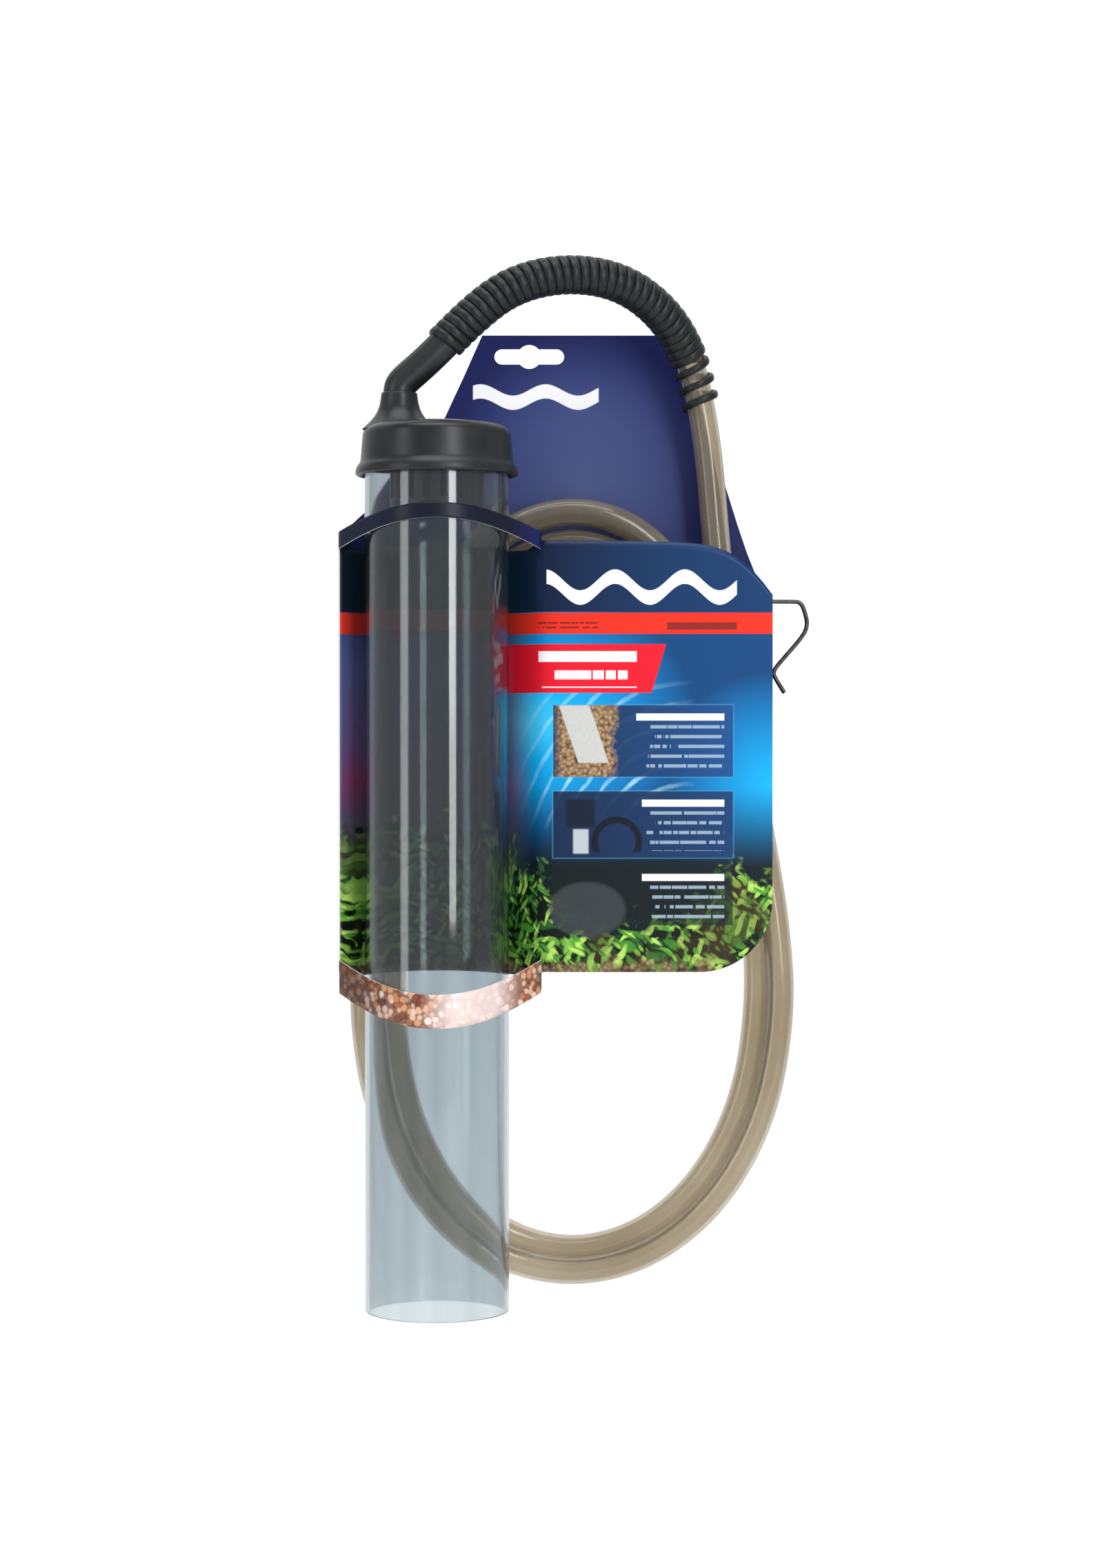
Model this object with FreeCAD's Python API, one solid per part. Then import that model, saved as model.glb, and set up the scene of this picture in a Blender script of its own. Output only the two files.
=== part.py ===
import FreeCAD, Part
import math
import os

# Gravel vacuum siphon on its hanging card.  Millimetres, +Z up, +X to the right, +Y to the back.
# The origin is the centre of the card's hang slot, in the middle of the back panel's thickness.

V = FreeCAD.Vector
UP = V(0, 0, 1)
BACK = V(0, 1, 0)

# ---- driving dimensions -------------------------------------------------------------------
# gravel tube: 2.5 in outside, 15 in long, clear rigid plastic
TUBE_X = -40.0
TUBE_Y = -60.0
TUBE_R = 31.75
TUBE_WALL = 2.0
TUBE_LENGTH = 381.0
TUBE_TOP = -46.0
SOCKET_DEPTH = 34.0          # top stretch of the bore, opened out for the cap's seal
SOCKET_STEP = 0.6
TUBE_BOTTOM = TUBE_TOP - TUBE_LENGTH

# cap
CAP_TOP = -36.0
CAP_BOTTOM = -60.0
CAP_R = 33.4
CAP_SKIRT_R = 32.05          # inside of the skirt, 0.3 clear of the tube
LIP_R = 36.0
LIP_HEIGHT = 3.5
CAP_PLATE = 3.0
PLUG_R = 28.75
PLUG_BORE_R = 26.6
PLUG_BOTTOM = -57.0
SEAL_Z = -51.0
SEAL_SECTION_R = 1.1
SEAL_GROOVE_DEPTH = 0.9

# self-start check valve, in the boss at the cap's left
VALVE_X = -56.5
SEAT_PLATE_TOP = -42.0
SEAT_PLATE = 3.0
SEAT_HOLE_R = 3.6
GASKET_R = 5.8
GASKET_THICK = 0.8
BALL_R = 4.5
BALL_GAP = 0.03
BALL_LIFT = 4.0
BALL_STOP_GAP = 0.3
CHAMBER_R = 6.2
CHAMBER_WALL = 1.8
STOP_THICK = 1.4
STOP_BAR = 1.4
BALL_Z = SEAT_PLATE_TOP + math.sqrt(BALL_R ** 2 - SEAT_HOLE_R ** 2) + BALL_GAP
STOP_Z = BALL_Z + BALL_R + BALL_LIFT + BALL_STOP_GAP
CHAMBER_TOP = STOP_Z + STOP_THICK
BOSS_BASE_R = 16.2           # where it meets the domed top, BOSS_SINK below the top's middle
BOSS_SINK = 2.9
BOSS_TOP_R = 8.4
BOSS_TOP = CHAMBER_TOP + 2.0

# strainer basket under the seat plate
STRAINER_R = 20.5
STRAINER_WALL = 1.4
STRAINER_BOTTOM = -75.0
STRAINER_FLANGE = 1.5
STRAINER_SLOTS = 18
STRAINER_SLOT_WIDTH = 2.6
STRAINER_SLOT_HEIGHT = 17.0
STRAINER_HOLE_R = 2.2
STRAINER_HOLE_RING_R = 12.0
STRAINER_HOLES = 10

# outlet neck, from the boss to the hose
NECK_R = 7.0
NECK_BORE_R = 3.6
BARB_R = 4.75
BARB_LENGTH = 11.0
BARB_RIDGE = 0.5
BARB_RIDGES = 3
BARB_RIDGE_PITCH = 3.0
NECK_SEAL_THICK = 1.2
NECK_ROUTE = [
    V(VALVE_X, TUBE_Y, BOSS_TOP),
    V(VALVE_X, TUBE_Y, -20.0),
    V(-34.5, TUBE_Y, 0.5),
]

# hose: 1/2 in outside, 3/8 in inside; its route from the neck until it joins the coil
HOSE_R = 6.35
HOSE_ROUTE = [
    V(-34.5, -60, 0.5),
    V(-19.5, -59, 16),
    V(-1, -55, 27),
    V(21.5, -49, 31),
    V(43, -42, 27.5),
    V(60.5, -34, 15.5),
    V(71.5, -26, -1),
    V(77.5, -20, -21),
    V(82, -17, -50),
    V(84.5, -16, -82),
    V(88, -17, -116),
    V(93, -18, -152),
    V(99.5, -19, -190),
    V(107, -19, -228),
]
TUBE_STRETCH_END = 10        # the loose stretch ends half way along the run after this point
GUARD_R = 8.7
GUARD_BORE_R = 6.6
GUARD_LAST_BEND = 6          # the kink guard's close turns end just after this point's bend
GUARD_LOOSE_RINGS = 3
GUARD_LOOSE_PITCH = 7.5
GUARD_LOOSE_WIDTH = 3.2

# hose coil: an egg-shaped bundle of turns between the card's panels, narrow end up;
# its outer edge as (x, z) points, clockwise from the right
COIL_EDGE = [
    (120.6, -299), (112.9, -347), (90.9, -388), (58, -416), (19.3, -425.4), (-19.4, -416),
    (-52.3, -388), (-74.3, -347), (-81.8, -299), (-78.5, -256), (-70.5, -214), (-60.5, -174),
    (-48.5, -132), (-28, -92), (-2, -71), (20, -65.5), (46, -71.5), (70, -92), (85.5, -132),
    (97.5, -174), (107.5, -214), (117.5, -256),
]
COIL_SECTION = 25.5
COIL_FRONT = -25.4
COIL_BACK = -1.5

# hanging card: one printed sheet, folded round the left side
CARD = 0.6
CARD_LEFT = -83.5
CARD_RIGHT = 107.6
CARD_BOTTOM = -278.0
CARD_FRONT_Y = TUBE_Y
PANEL_START = 5.8            # right end of the trough, left end of the flat front panel
CRADLE_R = 32.4              # inside radius of the trough and of the straps
CORNER_R = 32.0
TROUGH_TOP = -92.0
TROUGH_BOTTOM = -280.0
SPINE_TOP = -78.0
SPINE_GAP = 0.7              # the spine starts this far behind the fold, clear of the trough

# strap crescents: height of the upper and lower edge at the strap's middle and at its ends
TOP_STRAP = {"mid": (-73.7, -81.1), "end": (-84.5, -92.5)}
BOTTOM_STRAP = {"mid": (-285.3, -300.0), "end": (-272.5, -287.0)}

# hang slot: a wide bar with a round bump above it
SLOT_HALF_WIDTH = 16.0
SLOT_HALF_HEIGHT = 3.5
SLOT_BUMP_R = 5.5

# bucket clip: one bent spring wire, gripping the hose
WIRE_R = 1.0
CLIP_X = 87.7
CLIP_Y = -17.0
CLIP_Z = -113.0
GRIP_R = 8.3                 # centre line of the grip ring
GRIP_CLEAR = 0.6             # room left for the ring in the coil beside it
GRIP_START_DEG = 130.0       # the ring is open from the leg at 0 degrees round to here


# ---- helpers -------------------------------------------------------------------------------
def ring(x, y, z_low, z_high, r_out, r_in):
    """A plain ring (or a disc when r_in is 0) standing on z_low."""
    height = z_high - z_low
    body = Part.makeCylinder(r_out, height, V(x, y, z_low))
    if r_in > 0:
        body = body.cut(Part.makeCylinder(r_in, height, V(x, y, z_low)))
    return body


def lathe(x, y, profile):
    """Revolve a closed (radius, z) outline about the vertical line through x, y."""
    points = [V(x + r, y, z) for r, z in profile]
    face = Part.Face(Part.makePolygon(points + points[:1]))
    return face.revolve(V(x, y, 0), UP, 360)


def rounded_route(points):
    """Edges of a route: straight runs joined by the largest tangent arcs that fit."""
    edges = []
    radii = []
    start = points[0]
    for before, corner, after in zip(points, points[1:], points[2:]):
        come = (corner - before).normalize()
        leave = (after - corner).normalize()
        half_turn = come.getAngle(leave) / 2
        reach = 0.45 * min((corner - before).Length, (after - corner).Length)
        radius = reach / math.tan(half_turn)
        radii.append(radius)
        enter = corner - come * reach
        leaving = corner + leave * reach
        inward = (leave - come).normalize()
        middle = corner + inward * (radius / math.cos(half_turn) - radius)
        edges.append(Part.LineSegment(start, enter).toShape())
        edges.append(Part.Arc(enter, middle, leaving).toShape())
        start = leaving
    edges.append(Part.LineSegment(start, points[-1]).toShape())
    return edges, radii


def on_route(edges, distance):
    """Point and direction at a distance along a route's edges."""
    for edge in edges:
        if distance <= edge.Length:
            break
        distance -= edge.Length
    place = edge.getParameterByLength(distance)
    return edge.valueAt(place), edge.tangentAt(place)


def sweep(edges, radius):
    """A round rod along tangent edges."""
    path = Part.Wire(edges)
    first = edges[0]
    begin = first.valueAt(first.FirstParameter)
    along = first.tangentAt(first.FirstParameter)
    circle = Part.Wire([Part.makeCircle(radius, begin, along)])
    return path.makePipeShell([circle], True, False)


def egg_face(inset):
    """The coil's outline in the XZ plane, drawn in by inset square to its own edge."""
    points = []
    count = len(COIL_EDGE)
    for i, (x, z) in enumerate(COIL_EDGE):
        before, after = COIL_EDGE[i - 1], COIL_EDGE[(i + 1) % count]
        along = V(after[0] - before[0], 0, after[1] - before[1]).normalize()
        inward = V(along.z, 0, -along.x)
        points.append(V(x, COIL_FRONT, z) + inward * inset)
    curve = Part.BSplineCurve()
    curve.interpolate(points, PeriodicFlag=True)
    return Part.Face(Part.Wire([curve.toShape()]))


def cradle_band(side, z_low, z_high):
    """Card wrapped round one side of the tube: side 1 is behind it, -1 is in front."""
    left, right = CARD_LEFT, PANEL_START
    half = []
    reach = right - TUBE_X
    reach_left = TUBE_X - left
    for r in (CRADLE_R, CRADLE_R + CARD):
        touch = math.acos(r / reach)
        right_touch = V(TUBE_X + r * math.cos(touch), TUBE_Y + side * r * math.sin(touch), z_low)
        back = V(TUBE_X, TUBE_Y + side * r, z_low)
        touch_left = math.acos(r / reach_left)
        left_touch = V(
            TUBE_X - r * math.cos(touch_left), TUBE_Y + side * r * math.sin(touch_left), z_low
        )
        half.append((V(right, TUBE_Y, z_low), right_touch, back, left_touch, V(left, TUBE_Y, z_low)))
    (r0, r1, r2, r3, r4), (s0, s1, s2, s3, s4) = half
    shift = V(0, side * CARD, 0)
    s0, s4 = s0 + shift, s4 + shift
    edges = [
        Part.LineSegment(r0, r1).toShape(),
        Part.Arc(r1, r2, r3).toShape(),
        Part.LineSegment(r3, r4).toShape(),
        Part.LineSegment(r4, s4).toShape(),
        Part.LineSegment(s4, s3).toShape(),
        Part.Arc(s3, s2, s1).toShape(),
        Part.LineSegment(s1, s0).toShape(),
        Part.LineSegment(s0, r0).toShape(),
    ]
    return Part.Face(Part.Wire(edges)).extrude(V(0, 0, z_high - z_low))


def strap(heights):
    """A crescent strap in front of the tube, cut from the wrapped band by two arcs."""
    mid_high, mid_low = heights["mid"]
    end_high, end_low = heights["end"]
    low = min(mid_low, end_low) - 2
    high = max(mid_high, end_high) + 2
    band = cradle_band(-1, low, high)
    y = TUBE_Y - TUBE_R - 10
    left, right = CARD_LEFT, PANEL_START
    outline = [
        Part.Arc(V(left, y, end_high), V(TUBE_X, y, mid_high), V(right, y, end_high)).toShape(),
        Part.LineSegment(V(right, y, end_high), V(right, y, end_low)).toShape(),
        Part.Arc(V(right, y, end_low), V(TUBE_X, y, mid_low), V(left, y, end_low)).toShape(),
        Part.LineSegment(V(left, y, end_low), V(left, y, end_high)).toShape(),
    ]
    crescent = Part.Face(Part.Wire(outline)).extrude(BACK * (TUBE_R + 12))
    return band.common(crescent)


def sheet_from(outline, y_middle):
    """A flat card panel, its thickness centred on y_middle, from (x, z) points."""
    points = [V(x, y_middle - CARD / 2, z) for x, z in outline]
    return Part.Face(Part.makePolygon(points + points[:1])).extrude(BACK * CARD)


def round_lower_right(panel, y_middle):
    """Take the square lower right corner off a card panel."""
    x = CARD_RIGHT - CORNER_R
    z = CARD_BOTTOM + CORNER_R
    block = Part.makeBox(CORNER_R + 1, 4, CORNER_R + 1, V(x, y_middle - 2, CARD_BOTTOM - 1))
    disc = Part.makeCylinder(CORNER_R, 4, V(x, y_middle - 2, z), BACK)
    return panel.cut(block.cut(disc))


# ---- gravel tube ---------------------------------------------------------------------------
def gravel_tube():
    bore = TUBE_R - TUBE_WALL
    body = ring(TUBE_X, TUBE_Y, TUBE_BOTTOM, TUBE_TOP, TUBE_R, bore)
    socket = Part.makeCylinder(
        bore + SOCKET_STEP, SOCKET_DEPTH, V(TUBE_X, TUBE_Y, TUBE_TOP - SOCKET_DEPTH)
    )
    return body.cut(socket)


# ---- cap and its seal ----------------------------------------------------------------------
def cap_body():
    under_plate = CAP_TOP - CAP_PLATE
    skirt = lathe(TUBE_X, TUBE_Y, [
        (0.0, CAP_TOP),
        (CAP_R - 15.0, CAP_TOP - 0.5),
        (CAP_R - 5.5, CAP_TOP - 1.6),
        (CAP_R - 2.2, CAP_TOP - 2.8),
        (CAP_R - 0.6, CAP_TOP - 4.4),
        (CAP_R, CAP_TOP - 6.6),
        (CAP_R + 0.3, CAP_BOTTOM + LIP_HEIGHT + 3.0),
        (LIP_R - 0.6, CAP_BOTTOM + LIP_HEIGHT),
        (LIP_R, CAP_BOTTOM + 1.5),
        (LIP_R - 0.4, CAP_BOTTOM),
        (CAP_SKIRT_R, CAP_BOTTOM),
        (CAP_SKIRT_R, TUBE_TOP + 0.5),
        (PLUG_R, TUBE_TOP + 0.5),
        (PLUG_R, PLUG_BOTTOM),
        (PLUG_BORE_R, PLUG_BOTTOM),
        (PLUG_BORE_R, under_plate),
        (0.0, under_plate),
    ])
    boss_foot = CAP_TOP - BOSS_SINK
    boss = Part.makeCone(
        BOSS_BASE_R, BOSS_TOP_R, CHAMBER_TOP - boss_foot, V(VALVE_X, TUBE_Y, boss_foot)
    )
    collar = Part.makeCylinder(BOSS_TOP_R, BOSS_TOP - CHAMBER_TOP, V(VALVE_X, TUBE_Y, CHAMBER_TOP))
    chamber_wall = Part.makeCylinder(
        CHAMBER_R + CHAMBER_WALL, under_plate - SEAT_PLATE_TOP + 1,
        V(VALVE_X, TUBE_Y, SEAT_PLATE_TOP),
    )
    chamber = Part.makeCylinder(
        CHAMBER_R, BOSS_TOP - SEAT_PLATE_TOP + 1, V(VALVE_X, TUBE_Y, SEAT_PLATE_TOP - 0.5)
    )
    inside = Part.makeCylinder(CAP_R, 60, V(TUBE_X, TUBE_Y, CAP_TOP - 50))
    body = skirt.fuse([boss.common(inside), collar, chamber_wall]).cut(chamber)
    groove_low = SEAL_Z - SEAL_SECTION_R - 0.1
    groove_high = SEAL_Z + SEAL_SECTION_R + 0.1
    groove = ring(TUBE_X, TUBE_Y, groove_low, groove_high, PLUG_R + 1, PLUG_R - SEAL_GROOVE_DEPTH)
    return body.cut(groove)


def cap_seal_ring():
    centre_r = PLUG_R - SEAL_GROOVE_DEPTH + SEAL_SECTION_R + 0.03
    return Part.makeTorus(centre_r, SEAL_SECTION_R, V(TUBE_X, TUBE_Y, SEAL_Z))


# ---- check valve ---------------------------------------------------------------------------
def valve_seat():
    plate = ring(
        TUBE_X, TUBE_Y, SEAT_PLATE_TOP - SEAT_PLATE, SEAT_PLATE_TOP, PLUG_BORE_R, 0
    )
    hole = Part.makeCylinder(SEAT_HOLE_R, SEAT_PLATE, V(VALVE_X, TUBE_Y, SEAT_PLATE_TOP - SEAT_PLATE))
    pocket = Part.makeCylinder(GASKET_R, GASKET_THICK, V(VALVE_X, TUBE_Y, SEAT_PLATE_TOP - GASKET_THICK))
    return plate.cut(hole.fuse(pocket))


def seat_gasket():
    return ring(
        VALVE_X, TUBE_Y, SEAT_PLATE_TOP - GASKET_THICK, SEAT_PLATE_TOP, GASKET_R, SEAT_HOLE_R
    )


def valve_ball():
    return Part.makeSphere(BALL_R, V(VALVE_X, TUBE_Y, BALL_Z))


def ball_stop():
    reach = CHAMBER_R - 1.0
    rim = ring(VALVE_X, TUBE_Y, STOP_Z, CHAMBER_TOP, CHAMBER_R, CHAMBER_R - 1.2)
    bar = Part.makeBox(
        2 * reach, STOP_BAR, STOP_THICK, V(VALVE_X - reach, TUBE_Y - STOP_BAR / 2, STOP_Z)
    )
    cross = Part.makeBox(
        STOP_BAR, 2 * reach, STOP_THICK, V(VALVE_X - STOP_BAR / 2, TUBE_Y - reach, STOP_Z)
    )
    return rim.fuse([bar, cross]).removeSplitter()


# ---- strainer basket -----------------------------------------------------------------------
def inlet_strainer():
    top = SEAT_PLATE_TOP - SEAT_PLATE
    inner = STRAINER_R - STRAINER_WALL
    wall = ring(TUBE_X, TUBE_Y, STRAINER_BOTTOM, top, STRAINER_R, inner)
    flange = ring(TUBE_X, TUBE_Y, top - STRAINER_FLANGE, top, PLUG_BORE_R, inner)
    floor = ring(TUBE_X, TUBE_Y, STRAINER_BOTTOM, STRAINER_BOTTOM + STRAINER_WALL, inner, 0)
    body = wall.fuse([flange, floor]).removeSplitter()
    axis = V(TUBE_X, TUBE_Y, 0)
    cuts = []
    for i in range(STRAINER_SLOTS):
        slot = Part.makeBox(
            6, STRAINER_SLOT_WIDTH, STRAINER_SLOT_HEIGHT,
            V(TUBE_X + inner - 2, TUBE_Y - STRAINER_SLOT_WIDTH / 2, STRAINER_BOTTOM + 4),
        )
        slot.rotate(axis, UP, 360 * i / STRAINER_SLOTS)
        cuts.append(slot)
    for i in range(STRAINER_HOLES):
        turn = 2 * math.pi * i / STRAINER_HOLES
        x = TUBE_X + STRAINER_HOLE_RING_R * math.cos(turn)
        y = TUBE_Y + STRAINER_HOLE_RING_R * math.sin(turn)
        cuts.append(Part.makeCylinder(STRAINER_HOLE_R, 4, V(x, y, STRAINER_BOTTOM - 1)))
    return body.cut(cuts)


# ---- outlet neck ---------------------------------------------------------------------------
def neck_parts():
    """The neck with its hose barb, and the seal ring under its shoulder."""
    edges = rounded_route(NECK_ROUTE)[0]
    foot = V(VALVE_X, TUBE_Y, CHAMBER_TOP)
    end = HOSE_ROUTE[0]
    along = (HOSE_ROUTE[1] - HOSE_ROUTE[0]).normalize()
    outer = sweep(edges, NECK_R)
    outer = outer.fuse(Part.makeCylinder(CHAMBER_R, BOSS_TOP - CHAMBER_TOP + 1, foot))
    outer = outer.fuse(Part.makeCylinder(BARB_R, BARB_LENGTH + 1, end - along, along))
    for i in range(BARB_RIDGES):
        foot_of_ridge = end + along * BARB_RIDGE_PITCH * (i + 0.5)
        ridge = Part.makeCone(
            BARB_R + BARB_RIDGE, BARB_R - 0.2, BARB_RIDGE_PITCH - 0.4, foot_of_ridge, along
        )
        outer = outer.fuse(ridge)
    bore_route = [foot - UP, NECK_ROUTE[1], end + along * (BARB_LENGTH + 1)]
    neck = outer.cut(sweep(rounded_route(bore_route)[0], NECK_BORE_R))
    seal = ring(VALVE_X, TUBE_Y, BOSS_TOP, BOSS_TOP + NECK_SEAL_THICK, BOSS_TOP_R - 0.3, 0)
    return neck, seal.cut(sweep(edges, NECK_R + 0.02))


# ---- hose, coil and kink guard -------------------------------------------------------------
def hose_parts():
    """The loose stretch of hose, the coil that it joins, and the guard round its first bend."""
    edges, radii = rounded_route(HOSE_ROUTE)
    cut_at = 2 * TUBE_STRETCH_END + 1
    before, after = [vertex.Point for vertex in edges[cut_at - 1].Vertexes]
    middle = (before + after) * 0.5
    loose_edges = edges[:cut_at - 1] + [Part.LineSegment(before, middle).toShape()]
    coil_edges = [Part.LineSegment(middle, after).toShape()] + edges[cut_at:]
    loose = sweep(loose_edges, HOSE_R)
    length = sum(edge.Length for edge in loose_edges)
    print("hose bend radii", [round(r, 1) for r in radii])
    print("loose stretch", round(length, 1), "mm; volume over section x length",
          round(loose.Volume / (math.pi * HOSE_R ** 2 * length), 4))

    bundle = egg_face(0).cut(egg_face(COIL_SECTION)).extrude(BACK * (COIL_BACK - COIL_FRONT))
    coil = bundle.fuse(sweep(coil_edges, HOSE_R)).cut(loose).removeSplitter()
    grip_height = 2 * (WIRE_R + GRIP_CLEAR)
    grip_room = Part.makeCylinder(
        GRIP_R + WIRE_R + GRIP_CLEAR, grip_height, V(CLIP_X, CLIP_Y, CLIP_Z - grip_height / 2)
    )
    coil = coil.cut(grip_room)

    guard_edges = edges[:2 * GUARD_LAST_BEND]
    solids = [sweep(guard_edges, GUARD_R).cut(sweep(guard_edges, GUARD_BORE_R))]
    for i in range(GUARD_LOOSE_RINGS):
        middle, along = on_route(edges[2 * GUARD_LAST_BEND:], GUARD_LOOSE_PITCH * (i + 0.6))
        foot = middle - along * (GUARD_LOOSE_WIDTH / 2)
        outer = Part.makeCylinder(GUARD_R, GUARD_LOOSE_WIDTH, foot, along)
        solids.append(outer.cut(Part.makeCylinder(GUARD_BORE_R, GUARD_LOOSE_WIDTH, foot, along)))
    return loose, coil, Part.makeCompound(solids)


# ---- bucket clip ---------------------------------------------------------------------------
def bucket_clip():
    """Grip ring round the hose, then a leg out past the card's edge, down and back in."""
    centre = V(CLIP_X, CLIP_Y, CLIP_Z)
    grip = Part.makeTorus(GRIP_R, WIRE_R, centre, UP, -180, 180, 360 - GRIP_START_DEG)
    grip.rotate(centre, UP, GRIP_START_DEG)
    leg_route = [
        V(CLIP_X + GRIP_R, CLIP_Y, CLIP_Z),
        V(124.2, CLIP_Y, CLIP_Z),
        V(126.8, CLIP_Y, -125.0),
        V(109.8, CLIP_Y, -145.0),
        V(116.0, CLIP_Y, -154.5),
    ]
    leg = sweep(rounded_route(leg_route)[0], WIRE_R)
    elbow = Part.makeSphere(WIRE_R, leg_route[0])
    return grip.fuse([leg, elbow])


# ---- hanging card --------------------------------------------------------------------------
def card_back_panel():
    outline = [
        (-21.6, 9.8), (59.5, 9.8), (75.0, -14.0), (82.9, -37.1), (95.5, -76.7),
        (CARD_RIGHT, -108.0), (CARD_RIGHT, CARD_BOTTOM), (CARD_LEFT + CARD, CARD_BOTTOM),
        (CARD_LEFT + CARD, SPINE_TOP), (-63.1, -58.7), (-39.7, -29.9), (-30.0, -9.0),
    ]
    panel = round_lower_right(sheet_from(outline, 0), 0)
    bar = Part.makeBox(
        2 * (SLOT_HALF_WIDTH - SLOT_HALF_HEIGHT), 2, 2 * SLOT_HALF_HEIGHT,
        V(SLOT_HALF_HEIGHT - SLOT_HALF_WIDTH, -1, -SLOT_HALF_HEIGHT),
    )
    cuts = [bar, Part.makeCylinder(SLOT_BUMP_R, 2, V(0, -1, 0), BACK)]
    for side in (-1, 1):
        x = side * (SLOT_HALF_WIDTH - SLOT_HALF_HEIGHT)
        cuts.append(Part.makeCylinder(SLOT_HALF_HEIGHT, 2, V(x, -1, 0), BACK))
    return panel.cut(cuts)


def card_front_panel():
    outline = [
        (PANEL_START, -88.0), (58.9, -88.6), (77.9, -89.7), (89.3, -93.5),
        (CARD_RIGHT, -112.0), (CARD_RIGHT, CARD_BOTTOM), (PANEL_START, CARD_BOTTOM),
    ]
    return round_lower_right(sheet_from(outline, CARD_FRONT_Y), CARD_FRONT_Y)


def card_spine():
    front = CARD_FRONT_Y + CARD + SPINE_GAP
    return Part.makeBox(CARD, CARD / 2 - front, SPINE_TOP - CARD_BOTTOM, V(CARD_LEFT, front, CARD_BOTTOM))


neck, neck_seal = neck_parts()
loose_hose, hose_coil, kink_guard = hose_parts()

NODES = {
    "gravel_tube": gravel_tube(),
    "cap_body": cap_body(),
    "cap_seal_ring": cap_seal_ring(),
    "valve_seat": valve_seat(),
    "seat_gasket": seat_gasket(),
    "valve_ball": valve_ball(),
    "ball_stop": ball_stop(),
    "inlet_strainer": inlet_strainer(),
    "outlet_neck": neck,
    "neck_seal": neck_seal,
    "kink_guard": kink_guard,
    "clear_hose": loose_hose,
    "hose_coil": hose_coil,
    "bucket_clip": bucket_clip(),
    "card_back_panel": card_back_panel(),
    "card_front_panel": card_front_panel(),
    "card_trough": cradle_band(1, TROUGH_BOTTOM, TROUGH_TOP),
    "card_spine": card_spine(),
    "card_top_strap": strap(TOP_STRAP),
    "card_bottom_strap": strap(BOTTOM_STRAP),
}

os.makedirs("parts", exist_ok=True)
for name, shape in NODES.items():
    shape.exportStep("parts/" + name + ".step")
    box = shape.BoundBox
    print(name, "valid" if shape.isValid() else "INVALID", len(shape.Solids), "solid(s)",
          round(shape.Volume), "mm3",
          [round(v, 1) for v in (box.XMin, box.YMin, box.ZMin, box.XMax, box.YMax, box.ZMax)])
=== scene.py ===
import math

import bpy
from mathutils import Matrix, Vector


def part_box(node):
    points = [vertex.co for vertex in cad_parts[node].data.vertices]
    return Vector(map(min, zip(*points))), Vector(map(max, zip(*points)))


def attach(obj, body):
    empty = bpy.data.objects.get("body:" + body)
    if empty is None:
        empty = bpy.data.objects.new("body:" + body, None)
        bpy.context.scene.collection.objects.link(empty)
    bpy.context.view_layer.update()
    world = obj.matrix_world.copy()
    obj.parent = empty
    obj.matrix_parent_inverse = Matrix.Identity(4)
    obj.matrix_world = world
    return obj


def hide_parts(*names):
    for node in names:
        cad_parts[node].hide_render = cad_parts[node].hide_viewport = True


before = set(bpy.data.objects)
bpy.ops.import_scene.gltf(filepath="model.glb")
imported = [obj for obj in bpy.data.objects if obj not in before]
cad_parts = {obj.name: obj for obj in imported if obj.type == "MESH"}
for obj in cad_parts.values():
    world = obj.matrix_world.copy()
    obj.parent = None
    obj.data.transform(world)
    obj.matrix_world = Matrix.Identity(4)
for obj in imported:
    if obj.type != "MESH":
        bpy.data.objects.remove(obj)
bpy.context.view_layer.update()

# ---- camera and studio ---------------------------------------------------------------------
# The siphon hangs in a white studio, seen square on from 1.33 m, a little above its middle.
# The floor is a pale sweep well below it that turns up behind into a wall.

MM = 0.001
SENSOR = 36.0
LENS = 69.4
CAMERA_TILT_DEG = 0.8
TUBE_X, TUBE_Y = (sum(side) / 2 for side in zip(*(corner[:2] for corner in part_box("gravel_tube"))))

camera = bpy.data.objects.new("camera", bpy.data.cameras.new("camera"))
camera.data.lens = LENS
camera.data.sensor_width = SENSOR
camera.location = (0.0141, TUBE_Y - 1.33, -0.1766)
camera.rotation_euler = (math.radians(90 - CAMERA_TILT_DEG), 0, 0)
bpy.context.scene.collection.objects.link(camera)
bpy.context.scene.camera = camera
bpy.context.scene.view_settings.view_transform = "Standard"

FLOOR_Z = -0.60
WALL_Y = 1.6
SWEEP_R = 0.6


def mesh_piece(name, points, faces, smooth=True):
    """A mesh object at the frame's origin, linked into the scene."""
    mesh = bpy.data.meshes.new(name)
    mesh.from_pydata([tuple(p) for p in points], [], faces)
    mesh.validate()
    if smooth:
        mesh.shade_smooth()
    else:
        mesh.shade_flat()
    piece = bpy.data.objects.new(name, mesh)
    bpy.context.scene.collection.objects.link(piece)
    return piece


def grid_faces(columns, rows, close_columns=False, close_rows=False):
    """Quads over columns x rows of points that were listed column by column."""
    faces = []
    for i in range(columns if close_columns else columns - 1):
        for j in range(rows if close_rows else rows - 1):
            a, b = i * rows, (i + 1) % columns * rows
            k = (j + 1) % rows
            faces.append((a + j, b + j, b + k, a + k))
    return faces


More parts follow.
